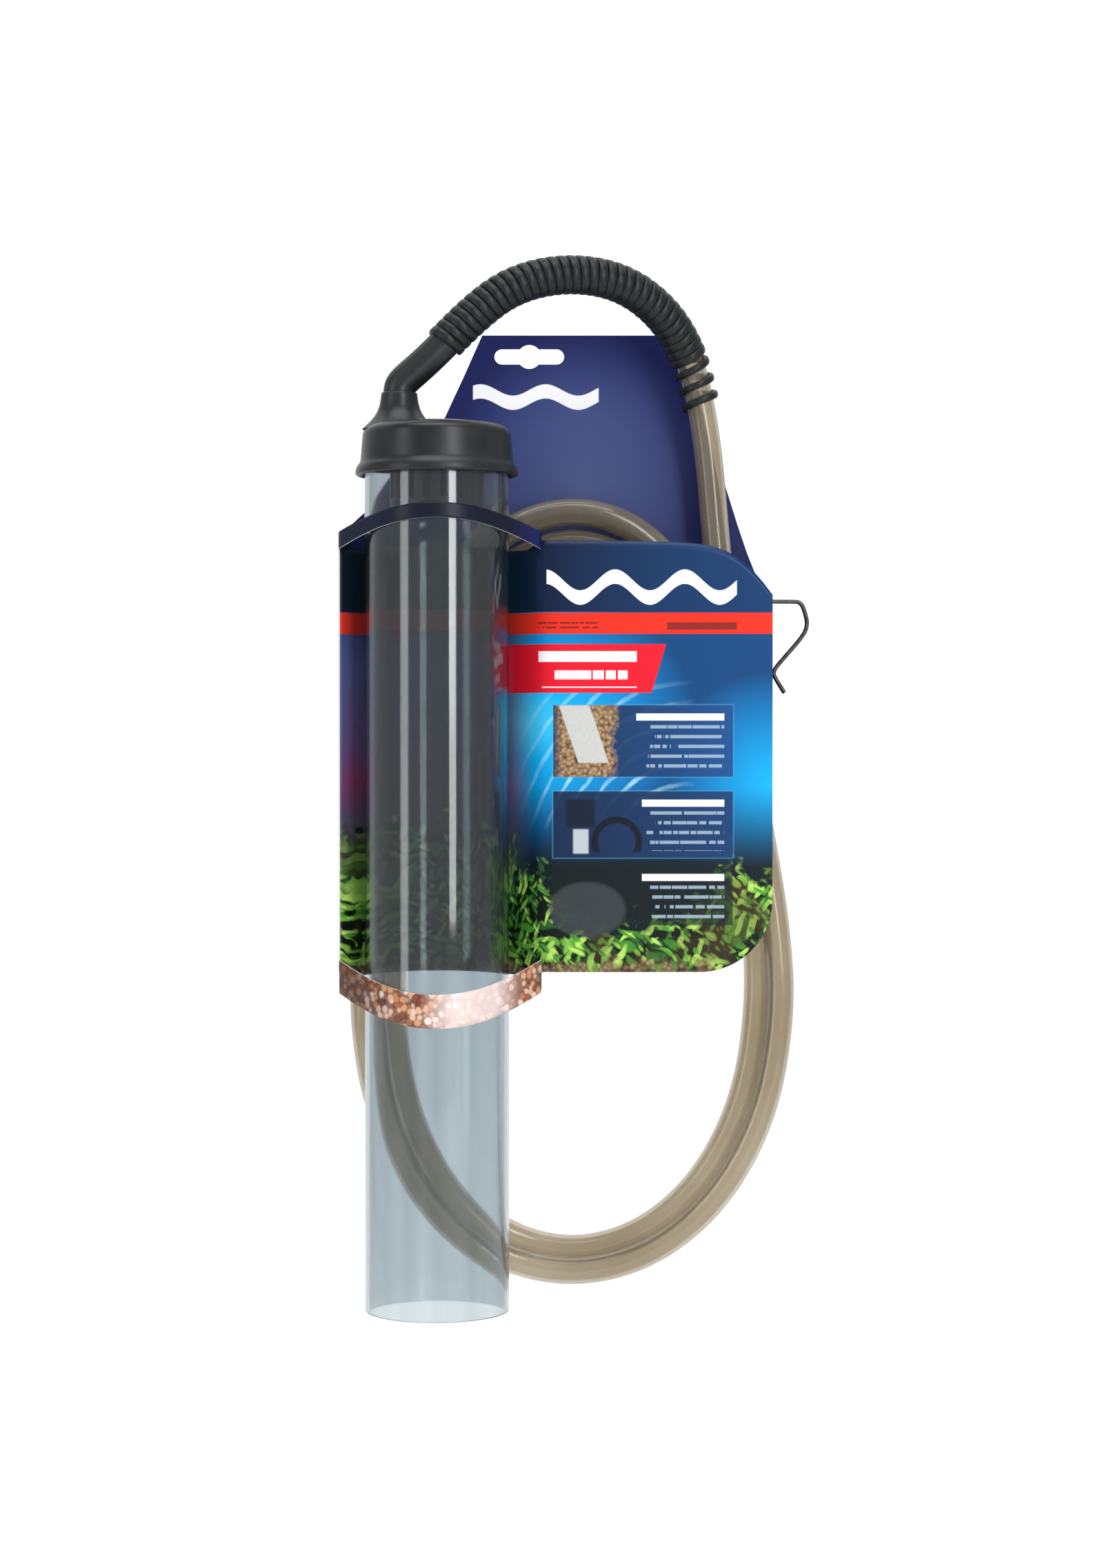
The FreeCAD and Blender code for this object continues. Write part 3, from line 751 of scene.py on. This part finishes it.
def flat_card(name, outlines, y_middle):
    """A flat card from closed outlines in x and z, in millimetres; the second is a hole."""
    data = bpy.data.curves.new(name, "CURVE")
    data.dimensions = "2D"
    data.fill_mode = "BOTH"
    data.extrude = CARD * 0.45
    for outline in outlines:
        line = data.splines.new("POLY")
        line.points.add(len(outline) - 1)
        for point, (x, z) in zip(line.points, outline):
            point.co = (x * MM, z * MM, 0, 1)
        line.use_cyclic_u = True
    drawn = bpy.data.objects.new(name, data)
    bpy.context.scene.collection.objects.link(drawn)
    mesh = bpy.data.meshes.new_from_object(drawn)
    bpy.data.objects.remove(drawn)
    mesh.transform(Matrix.Translation((0, y_middle, 0)) @ Matrix.Rotation(math.pi / 2, 4, "X"))
    piece = bpy.data.objects.new(name, mesh)
    bpy.context.scene.collection.objects.link(piece)
    mesh.shade_flat()
    return piece


back_card = flat_card("card_back_sheet", [back_outline, slot_outline], 0.0)


def within(value, low, high, soft):
    """1 where value lies between low and high, with edges soft wide."""
    rise = ((value - low) / soft).clamped()
    fall = ((high - value) / soft).clamped()
    return rise * fall


def print_art(name):
    """A printed card finish: ink under a thin half-gloss coat."""
    return Finish(name, Roughness=0.36, Specular_IOR_Level=0.22)


def lines_of_print(finish, x, z, box, pitch, fill, seed):
    """Rows of dashes that stand in for small print, inside box = (left, right, low, high)."""
    left, right, low, high = box
    row = ((high - z) / pitch).math("FLOOR", (high - z) / pitch)
    phase = (high - z) / pitch - row
    spot = finish.node("ShaderNodeCombineXYZ", {}, [x * 0.55, row * 3.7 + seed, 0.0])
    gaps = finish.noise(spot, 1.0, 1.0) > 0.40
    ragged = finish.noise(
        finish.node("ShaderNodeCombineXYZ", {}, [row * 5.3 + seed, 2.0, 0.0]), 1.0, 0.0
    )
    ends = x > left + (right - left) * 0.5 * (ragged - 0.4)
    body = within(x, left, right, 0.3) * within(z, low, high, 0.2) * within(phase, 0.12, 0.12 + fill, 0.1)
    return body * gaps * ends


WHITE = (0.86, 0.87, 0.88)

# front artwork: title field, stripe, banner, water, three picture panels, plants and pebbles
front_art = print_art("printed_front_and_painted_shade")
spot, x, y, z = front_art.place()
rough_edge = front_art.noise(spot, 0.16, 4.0)

glow = front_art.node(
    "ShaderNodeVectorMath", {"operation": "LENGTH"},
    [front_art.node("ShaderNodeCombineXYZ", {}, [(x + 4.0) / 78.0, 0.0, (z + 168.0) / 62.0])], "Value"
)
edge_glow = front_art.node(
    "ShaderNodeVectorMath", {"operation": "LENGTH"},
    [front_art.node("ShaderNodeCombineXYZ", {}, [(x - 108.0) / 66.0, 0.0, (z + 196.0) / 66.0])], "Value"
)
water = front_art.ramp(
    glow.math("MINIMUM", glow, edge_glow + 0.24),
    (0.0, (0.08, 0.62, 0.92)), (0.28, (0.0, 0.38, 0.76)), (0.7, (0.0, 0.17, 0.44)),
    (1.0, (0.0, 0.05, 0.17)),
)
deep = within(z, -330.0, -196.0, 36.0)
art = front_art.mixed(deep, water, (0.001, 0.0075, 0.011))

ripple_spot = front_art.node("ShaderNodeCombineXYZ", {}, [(x - 70.0) / 60.0, 0.0, (z + 262.0) / 88.0])
ripple = front_art.node(
    "ShaderNodeTexWave", {"wave_type": "RINGS", "rings_direction": "SPHERICAL"},
    {"Vector": ripple_spot, "Scale": 3.1, "Distortion": 1.4, "Detail": 2.0, "Detail Scale": 2.0}, 1
)
bright_water = within(z, -216.0, -146.0, 20.0) * within(x, -6.0, 74.0, 22.0)
streaks = bright_water * ((ripple - 0.80) / 0.2).clamped() * (rough_edge * 1.6).clamped()
art = front_art.mixed(streaks * 0.55, art, (0.50, 0.88, 1.0))

# left of and behind the tube the print turns violet and red, and it is painted darker there as shade of the
# trough round the tube
left_side = within(x, -90.0, 2.0, 12.0)
dusk_print_and_shade = front_art.ramp(
    (z + 278.0) / 190.0, (0.0, (0.015, 0.04, 0.02)), (0.22, (0.03, 0.08, 0.07)),
    (0.36, (0.09, 0.06, 0.10)), (0.44, (0.20, 0.035, 0.09)), (0.52, (0.12, 0.065, 0.15)),
    (0.7, (0.08, 0.085, 0.20)), (0.8, (0.045, 0.055, 0.15)), (0.9, (0.006, 0.014, 0.028)),
)
art = front_art.mixed(left_side * 0.95, art, dusk_print_and_shade)

# plants: bright slanting leaves over black, brown where roots and wood show
plant_edge = -232.0 + (rough_edge - 0.5) * 44.0 - within(x, 4.0, 84.0, 16.0) * 20.0
plants_here = ((plant_edge - z) / 9.0).clamped()
left_plants = ((-212.0 + (rough_edge - 0.5) * 50.0 - z) / 8.0).clamped() * within(x, -90.0, -4.0, 14.0)
plants_here = plants_here.math("MAXIMUM", plants_here, left_plants)
sway = front_art.noise(spot, 0.035, 2.0)
leaf_colour = (0.001, 0.005, 0.002)
LEAF_LAYERS = [(-0.35, 0.10, 0.24, 0.0), (0.95, 0.13, 0.36, 0.10), (-0.75, 0.17, 0.44, 0.16)]
for lean, length, width, lit in LEAF_LAYERS:
    along = (x - y) * math.cos(lean) + z * math.sin(lean)
    across = z * math.cos(lean) - (x - y) * math.sin(lean)
    leaf_spot = front_art.node(
        "ShaderNodeCombineXYZ", {}, [along * length + sway * 5.0, lean, across * width + sway * 7.0]
    )
    leaf = front_art.node("ShaderNodeTexVoronoi", {}, {"Vector": leaf_spot, "Scale": 1.0}, 0)
    leaf_kind = front_art.node("ShaderNodeTexVoronoi", {}, {"Vector": leaf_spot, "Scale": 1.0}, 1)
    leaf_kind = Flow(front_art.node("ShaderNodeSeparateXYZ", {}, [leaf_kind]).socket.node.outputs[1])
    leaf_light = front_art.ramp(
        leaf_kind * 0.62 + front_art.noise(spot, 0.05) * 0.5 + lit,
        (0.34, (0.003, 0.022, 0.006)), (0.54, (0.018, 0.12, 0.016)), (0.72, (0.08, 0.34, 0.03)),
        (0.90, (0.46, 0.74, 0.13)),
    )
    leaf_there = ((0.56 - leaf) / 0.20).clamped() * ((leaf_kind - 0.30) / 0.1).clamped()
    leaf_colour = front_art.mixed(leaf_there * 0.9, leaf_colour, leaf_light)
roots = ((front_art.noise(spot, 0.028, 2.0) - 0.53) / 0.06).clamped() * 0.55
leaf_colour = front_art.mixed(roots, leaf_colour, (0.06, 0.035, 0.012))
art = front_art.mixed(plants_here * 0.96, art, leaf_colour)

# bottom edge: brown gravel just showing under the plants
pebble = front_art.node("ShaderNodeTexVoronoi", {}, {"Vector": spot, "Scale": 0.45}, 0)
gravel = front_art.ramp(
    pebble, (0.0, (0.42, 0.30, 0.17)), (0.55, (0.16, 0.09, 0.045)), (0.9, (0.02, 0.012, 0.01))
)
gravel_here = ((-273.0 + (rough_edge - 0.5) * 22.0 - z) / 2.5).clamped()
art = front_art.mixed(gravel_here * 0.75, art, gravel)

# three picture panels
PANELS = [(-192.1, -160.4), (-227.7, -198.3), (-257.5, -231.0)]
inset_blue = (0.003, 0.014, 0.055)
for number, (low, high) in enumerate(PANELS):
    frame_edge = within(x, 10.4, 90.9, 0.3) * within(z, low - 0.6, high + 0.6, 0.3)
    panel = within(x, 11.0, 90.3, 0.3) * within(z, low, high, 0.3)
    far_shade = [(0.006, 0.06, 0.22), (0.004, 0.035, 0.13), (0.002, 0.010, 0.014)][number]
    near_shade = inset_blue if number < 2 else (0.002, 0.007, 0.008)
    shade = front_art.mixed(((x - 25.0) / 65.0).clamped(), near_shade, far_shade)
    art = front_art.mixed(frame_edge * (0.35 if number < 2 else 0.0), art, (0.08, 0.30, 0.50))
    art = front_art.mixed(panel * (0.95 if number < 2 else 0.75), art, shade)
    text = lines_of_print(
        front_art, x, z, (52.0, 86.5, low + 3.0, high - 8.2), 4.3, 0.42, 11.0 * number
    )
    heading = within(x, 50.0 if number else 47.5, 86.5, 0.3) * within(z, high - 7.0, high - 3.6, 0.3)
    art = front_art.mixed(text * 0.55, art, (0.45, 0.60, 0.72))
    art = front_art.mixed(heading * 0.85, art, WHITE)

# picture one: tube in tan gravel; picture two: dark cap and hose arc; picture three: grey scoop
low, high = PANELS[0]
picture = within(x, 11.0, 40.0 + (rough_edge - 0.5) * 14.0, 4.0) * within(z, low, high, 0.3)
stones = front_art.ramp(
    front_art.node("ShaderNodeTexVoronoi", {}, {"Vector": spot, "Scale": 0.62}, 0),
    (0.0, (0.50, 0.36, 0.20)), (0.6, (0.24, 0.14, 0.07)), (0.95, (0.05, 0.03, 0.02)),
)
art = front_art.mixed(picture, art, stones)
slant = x + (z - low) * 0.34
tube_shape = within(slant, 24.0, 38.0, 0.6) * within(z, low + 6.0, high, 0.4)
art = front_art.mixed(tube_shape * 0.85, art, (0.55, 0.57, 0.55))
low, high = PANELS[1]
blob = within(x, 16.0, 30.0, 1.2) * within(z, low + 13.0, high - 3.0, 1.2)
body = within(x, 19.5, 27.0, 0.8) * within(z, low + 1.5, low + 13.0, 0.8)
art = front_art.mixed(blob * 0.9, art, (0.004, 0.008, 0.02))
art = front_art.mixed(body * 0.85, art, (0.50, 0.56, 0.58))
bend = front_art.node(
    "ShaderNodeVectorMath", {"operation": "LENGTH"},
    [front_art.node("ShaderNodeCombineXYZ", {}, [x - 39.0, 0.0, z - (low + 7.0)])], "Value"
)
art = front_art.mixed(
    within(bend, 8.0, 11.5, 0.6) * ((z - low - 2.0) / 1.0).clamped(), art, (0.003, 0.006, 0.016)
)
low, high = PANELS[2]
scoop = front_art.node(
    "ShaderNodeVectorMath", {"operation": "LENGTH"},
    [front_art.node("ShaderNodeCombineXYZ", {}, [(x - 26.0) / 18.0, 0.0, (z - low - 7.0) / 13.0])], "Value"
)
art = front_art.mixed(((1.0 - scoop) / 0.12).clamped() * 0.9, art, (0.035, 0.045, 0.05))

# title field with a plain white wave, the red stripe and the slanted banner
CRISP = 0.3
STRIPE_LOW, STRIPE_HIGH = -129.3, -119.7
TITLE_LOW = -119.6
BANNER_LOW, BANNER_HIGH = -155.2, -133.5
BANNER_END, BANNER_SLANT = 54.5, 0.30
TITLE_MIDDLE, TITLE_SWING, TITLE_HALF = -108.6, 4.6, 3.3
title_field = ((z - TITLE_LOW) / CRISP).clamped()
# The title field's navy darkens to near black at the left, behind the tube: that dark end is painted shade.
title_blue = front_art.ramp(
    (x + 90.0) / 200.0, (0.0, (0.001, 0.001, 0.003)), (0.12, (0.004, 0.016, 0.03)),
    (0.38, (0.004, 0.018, 0.034)), (0.52, (0.001, 0.010, 0.042)), (0.75, (0.001, 0.028, 0.10)),
    (1.0, (0.001, 0.034, 0.125))
)
art = front_art.mixed(title_field, art, title_blue)
crest = (x * 0.205).math("SINE", x * 0.205)
wave_middle = TITLE_MIDDLE + crest * TITLE_SWING
title_wave = within(z - wave_middle, -TITLE_HALF, TITLE_HALF, CRISP) * within(x, 8.0, 92.0, 0.4)
art = front_art.mixed(title_wave, art, WHITE)

stripe = within(z, STRIPE_LOW, STRIPE_HIGH, 0.25)
# Behind the tube the red stripe is painted darker, as shade.
stripe_red = front_art.mixed(left_side * 0.75, (0.70, 0.024, 0.009), (0.36, 0.022, 0.016))
art = front_art.mixed(stripe, art, stripe_red)
stripe_print = lines_of_print(front_art, x, z, (3.0, 31.0, -127.6, -123.6), 2.0, 0.5, 5.0)
stripe_mark = within(x, 61.0, 92.0, 0.3) * within(z, -127.4, -124.0, 0.2)
art = front_art.mixed(stripe_print * 0.8 + stripe_mark * 0.75, art, (0.10, 0.01, 0.01))

banner_end = BANNER_END + (z - BANNER_LOW) * BANNER_SLANT
banner = within(z, BANNER_LOW, BANNER_HIGH, CRISP) * ((banner_end - x) / CRISP).clamped()
banner = banner * ((x + 22.0) / 16.0).clamped()
art = front_art.mixed(banner, art, (0.70, 0.006, 0.022))
banner_title = within(x, 4.5, 48.0, 0.3) * within(z, -141.6, -136.6, 0.3)
banner_text = lines_of_print(front_art, x, z, (10.0, 44.0, -150.4, -144.2), 6.2, 0.72, 2.0)
banner_rule = within(x, 6.0, 48.0, 0.3) * within(z, -153.0, -152.2, 0.2)
art = front_art.mixed(banner_title * 0.92 + banner_text * 0.8 + banner_rule * 0.7, art, WHITE)

front_art.varies(Base_Color=art)
front_art.bumpy(front_art.noise(spot, 0.03, 2.0), 0.25, 0.4)

# navy of the header, with a plain white wave on the header
header_art = print_art("printed_header")
spot, x, y, z = header_art.place()
header_glow = header_art.node(
    "ShaderNodeVectorMath", {"operation": "LENGTH"},
    [header_art.node("ShaderNodeCombineXYZ", {}, [(x - 24.0) / 62.0, 0.0, (z + 62.0) / 74.0])], "Value"
)
art = header_art.ramp(
    header_glow, (0.0, (0.065, 0.09, 0.235)), (0.5, (0.042, 0.062, 0.195)),
    (0.85, (0.014, 0.023, 0.12)), (1.0, (0.007, 0.012, 0.085)),
)
crest = (x * 0.21).math("SINE", x * 0.21)
header_wave = within(z + 18.4 - crest * 2.6, -3.4, 3.4, 0.3) * within(x, -26.0, 32.0, 0.4)
art = header_art.mixed(header_wave * 0.95, art, WHITE)
behind = (y > 0.0)
back_rows = lines_of_print(header_art, x, z, (-70.0, 96.0, -250.0, -110.0), 6.0, 0.42, 9.0)
art = header_art.mixed(behind * back_rows * 0.7, art, (0.55, 0.62, 0.75))
back_band = behind * within(z, -100.0, -84.0, 0.3)
art = header_art.mixed(back_band, art, (0.84, 0.035, 0.012))
header_art.varies(Base_Color=art)
header_art.bumpy(header_art.noise(spot, 0.02, 2.0), 0.3, 0.4)

# pebble print of the lower strap, darker towards its left end, with a painted highlight across its front
pebble_art = print_art("printed_pebbles_and_painted_highlight")
spot, x = pebble_art.place()[:2]
stone = pebble_art.node("ShaderNodeTexVoronoi", {}, {"Vector": spot, "Scale": 0.33}, 0)
stone_tint = pebble_art.node("ShaderNodeTexVoronoi", {}, {"Vector": spot, "Scale": 0.33}, 1)
tint = Flow(pebble_art.node("ShaderNodeSeparateXYZ", {}, [stone_tint]).socket.node.outputs[0])
art = pebble_art.ramp(
    tint, (0.0, (0.20, 0.06, 0.03)), (0.3, (0.50, 0.19, 0.08)), (0.55, (0.62, 0.36, 0.22)),
    (0.8, (0.72, 0.50, 0.42)), (1.0, (0.80, 0.66, 0.60)),
)
gaps = ((stone - 0.42) / 0.22).clamped()
art = pebble_art.mixed(gaps * 0.8, art, (0.10, 0.035, 0.02))
art = pebble_art.mixed(((-58.0 - x) / 16.0).clamped() * 0.75, art, (0.05, 0.02, 0.012))
# A pale pink band across the strap is a painted highlight standing in for the gloss of its coat.
painted_highlight = ((x + 46.0) / 14.0).clamped() * ((-2.0 - x) / 12.0).clamped()
art = pebble_art.mixed(painted_highlight * 0.72, art, (0.90, 0.76, 0.72))
pebble_art.varies(Base_Color=art)

raw_board = Finish("raw_board_edge", Roughness=0.8)
spot = raw_board.place()[0]
raw_board.varies(Base_Color=raw_board.ramp(
    raw_board.noise(spot, 2.0, 4.0), (0.3, (0.60, 0.60, 0.58)), (0.8, (0.78, 0.78, 0.76))
))

# near-black navy print of the upper strap, turning lighter navy towards its right end: that lighter end is a
# painted highlight
strap_art = print_art("printed_upper_strap_and_painted_highlight")
spot, x = strap_art.place()[:2]
strap_art.varies(Base_Color=strap_art.ramp(
    strap_art.noise(spot, 0.03) * 0.3 + ((x + 8.0) / 14.0).clamped() * 0.7,
    (0.1, (0.003, 0.005, 0.014)), (0.7, (0.008, 0.012, 0.085)),
))

front_art.on(front_card, side_card)
header_art.on(back_card)
strap_art.on(top_strap)
pebble_art.on(bottom_strap)
for piece in (front_card, side_card, top_strap, bottom_strap):
    piece.data.materials.append(raw_board.material)
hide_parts("card_front_panel", "card_trough")
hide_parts("card_spine")
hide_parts("card_back_panel")
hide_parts("card_top_strap")
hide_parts("card_bottom_strap")
for piece in (front_card, side_card, back_card, top_strap, bottom_strap):
    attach(piece, "card")

# ---- bucket clip ---------------------------------------------------------------------------
# One bent spring wire: an open ring that grips the hose, and a leg that runs out past the
# card's edge and turns down and back in, to press a bucket's rim against the hose.

CLIP_X, CLIP_Y, CLIP_Z = 87.7, -17.0, -113.0
GRIP_R = 8.3
GRIP_START_DEG, GRIP_TURN_DEG, GRIP_STEPS = 130, 230, 12
WIRE_R = 1.0 * MM
WIRE_SIDES = 14
clip_route = []
for i in range(GRIP_STEPS + 1):
    turn = math.radians(GRIP_START_DEG + GRIP_TURN_DEG * i / GRIP_STEPS)
    clip_route.append((CLIP_X + GRIP_R * math.cos(turn), CLIP_Y + GRIP_R * math.sin(turn), CLIP_Z))
clip_route += [
    (CLIP_X + GRIP_R + 3, CLIP_Y, CLIP_Z), (119, CLIP_Y, CLIP_Z), (123.5, CLIP_Y, CLIP_Z - 0.2),
    (125.6, CLIP_Y, CLIP_Z - 6), (126.4, CLIP_Y, -123.5), (124.6, CLIP_Y, -128.5),
    (114, CLIP_Y, -140.5), (110.6, CLIP_Y, -145), (112.2, CLIP_Y, -148.5), (116, CLIP_Y, -154.4),
]
clip = tube_along("bucket_clip_wire", clip_route, WIRE_R, WIRE_SIDES)
spring_wire = Finish("dull_spring_wire", Metallic=1.0)
spot = spring_wire.place()[0]
wear = spring_wire.noise(spot, 0.8, 4.0)
spring_wire.varies(
    Base_Color=spring_wire.ramp(wear, (0.3, (0.055, 0.05, 0.05)), (0.75, (0.13, 0.12, 0.12))),
    Roughness=0.25 + 0.3 * wear,
)
spring_wire.on(clip)
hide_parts("bucket_clip")
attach(clip, "clip")
